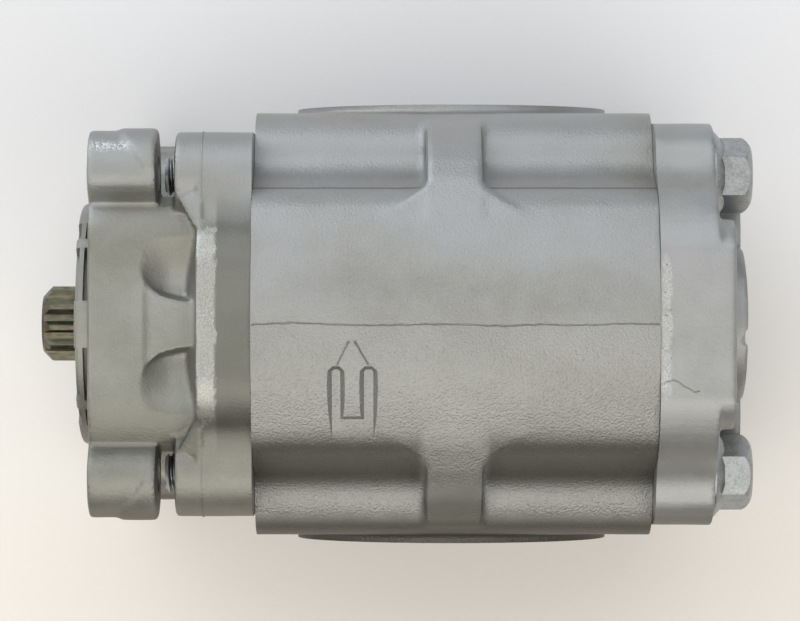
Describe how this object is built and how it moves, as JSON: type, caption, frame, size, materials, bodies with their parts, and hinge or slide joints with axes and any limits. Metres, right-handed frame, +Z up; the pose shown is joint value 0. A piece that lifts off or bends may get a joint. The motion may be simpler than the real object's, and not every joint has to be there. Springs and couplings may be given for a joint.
{
  "type": "hydraulic gear pump",
  "caption": "External gear pump with cast body, lugged mounting cover, flange-bolted rear cover and a splined drive shaft.",
  "frame": {"origin": "under the middle of the pump's box, on the surface that the pump lies on", "axes": "+X along both shafts, from the splined end towards the rear cover; +Y towards the outlet port; +Z up, from the idler gear to the drive gear"},
  "size_m": [0.1744, 0.1084, 0.1324],
  "materials": {
    "front_casting": "grey die-cast aluminium with a fine grain and a dull oily film",
    "body_casting": "grey die-cast aluminium with a fine orange-peel grain",
    "cover_casting": "grey die-cast aluminium, brushed where it was dressed",
    "zinc_plated_steel": "bright zinc plating",
    "ground_steel": "ground steel",
    "oiled_steel": "dark oily steel with a trace of rust in the spline",
    "block_alloy": "turned bearing alloy",
    "bush_bronze": "dull lined bronze",
    "spring_steel": "blackened spring steel",
    "seal_rubber": "black nitrile rubber",
    "backup_plastic": "off-white plastic"
  },
  "bodies": {
    "housing": {"front_cover": "front_casting", "body": "body_casting", "rear_cover": "cover_casting", "cover_bolt_upper_outlet": "zinc_plated_steel", "cover_bolt_upper_inlet": "zinc_plated_steel", "cover_bolt_lower_outlet": "zinc_plated_steel", "cover_bolt_lower_inlet": "zinc_plated_steel", "front_dowel_outlet": "ground_steel", "front_dowel_inlet": "ground_steel", "rear_dowel_outlet": "ground_steel", "rear_dowel_inlet": "ground_steel", "front_bearing_block": "block_alloy", "rear_bearing_block": "block_alloy", "drive_front_bush": "bush_bronze", "drive_rear_bush": "bush_bronze", "idler_front_bush": "bush_bronze", "idler_rear_bush": "bush_bronze", "front_pressure_seal": "seal_rubber", "rear_pressure_seal": "seal_rubber", "front_backup_ring": "backup_plastic", "rear_backup_ring": "backup_plastic", "front_body_seal": "seal_rubber", "rear_body_seal": "seal_rubber", "shaft_seal": "seal_rubber", "seal_retaining_ring": "spring_steel"},
    "drive": {"drive_gear_shaft": "oiled_steel"},
    "idler": {"idler_gear_shaft": "ground_steel"}
  },
  "joints": [
    {"name": "drive_spin", "type": "hinge", "parent": "housing", "child": "drive", "pos_m": [0, 0, 0.0864], "axis": [1, 0, 0], "continuous": true},
    {"name": "idler_spin", "type": "hinge", "parent": "housing", "child": "idler", "pos_m": [0, 0, 0.0444], "axis": [1, 0, 0], "continuous": true}
  ],
  "couplings": [
    {"joint": "idler_spin", "follows": "drive_spin", "ratio": -1}
  ]
}
